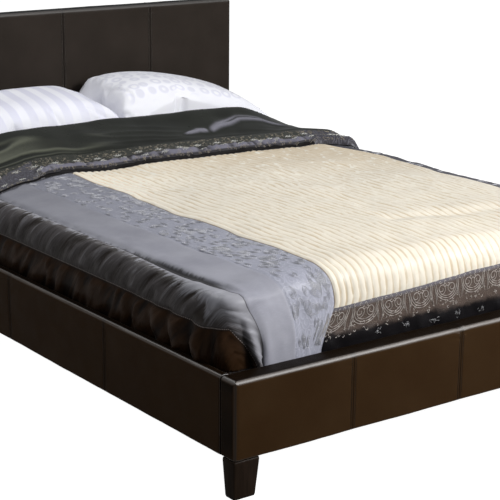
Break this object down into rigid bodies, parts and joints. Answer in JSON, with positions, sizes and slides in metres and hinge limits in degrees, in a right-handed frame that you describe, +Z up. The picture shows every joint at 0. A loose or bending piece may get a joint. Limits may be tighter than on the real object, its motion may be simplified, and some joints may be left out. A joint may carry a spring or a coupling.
{
  "type": "upholstered double bed",
  "caption": "Leathercloth panel bedstead with a low foot board, tapered feet and a sprung slat base, made up with a mattress, comforter and pillows.",
  "frame": {"origin": "on the floor, under the middle of the bed", "axes": "+X to the right seen from the foot end, +Y from the foot board to the headboard, +Z up"},
  "size_m": [1.44, 2.1, 0.915],
  "materials": {
    "leathercloth": "satin",
    "upholstery_foam": "matte",
    "timber": "matte",
    "dark_feet": "satin",
    "zinc_plated_steel": "satin",
    "painted_steel": "satin",
    "black_plastic": "matte",
    "beech_slats": "satin",
    "back_cloth": "matte",
    "mattress_ticking": "matte",
    "comforter_satin": "satin",
    "striped_cotton": "matte",
    "white_cotton": "matte"
  },
  "bodies": {
    "frame": {"headboard_cover": "leathercloth", "footboard_cover": "leathercloth", "left_rail_cover": "leathercloth", "right_rail_cover": "leathercloth", "headboard_foam": "upholstery_foam", "footboard_foam": "upholstery_foam", "left_rail_foam": "upholstery_foam", "right_rail_foam": "upholstery_foam", "headboard_front_panel": "timber", "headboard_left_post": "timber", "headboard_right_post": "timber", "headboard_top_rail": "timber", "headboard_bottom_rail": "timber", "footboard_core": "timber", "left_rail_board": "timber", "left_rail_ledge": "timber", "right_rail_board": "timber", "right_rail_ledge": "timber", "center_beam": "timber", "front_center_leg": "timber", "rear_center_leg": "timber", "front_left_foot": "dark_feet", "front_right_foot": "dark_feet", "rear_left_foot": "dark_feet", "rear_right_foot": "dark_feet", "hanger_bolts": "zinc_plated_steel", "bracket_bolts": "zinc_plated_steel", "bracket_washers": "zinc_plated_steel", "insert_nuts": "zinc_plated_steel", "leveller_inserts": "zinc_plated_steel", "corner_brackets": "painted_steel", "beam_hangers": "painted_steel", "foot_glides": "black_plastic", "left_slat_caps": "black_plastic", "right_slat_caps": "black_plastic", "center_slat_caps": "black_plastic", "slat_row_01": "beech_slats", "slat_row_02": "beech_slats", "slat_row_03": "beech_slats", "slat_row_04": "beech_slats", "slat_row_05": "beech_slats", "slat_row_06": "beech_slats", "slat_row_07": "beech_slats", "slat_row_08": "beech_slats", "slat_row_09": "beech_slats", "slat_row_10": "beech_slats", "slat_row_11": "beech_slats", "slat_row_12": "beech_slats", "slat_row_13": "beech_slats", "slat_row_14": "beech_slats", "headboard_back_panel": "back_cloth", "mattress": "mattress_ticking", "comforter": "comforter_satin", "lower_left_pillow": "striped_cotton", "upper_left_pillow": "striped_cotton", "lower_right_pillow": "white_cotton", "upper_right_pillow": "white_cotton"},
    "front_leveller": {"front_leveller": "black_plastic"},
    "rear_leveller": {"rear_leveller": "black_plastic"}
  },
  "joints": [
    {"name": "front_leveller_screw", "type": "slide", "parent": "frame", "child": "front_leveller", "axis": [0, 0, 1], "range_m": [-0.012, 0.01]},
    {"name": "rear_leveller_screw", "type": "slide", "parent": "frame", "child": "rear_leveller", "axis": [0, 0, 1], "range_m": [-0.012, 0.01]}
  ]
}
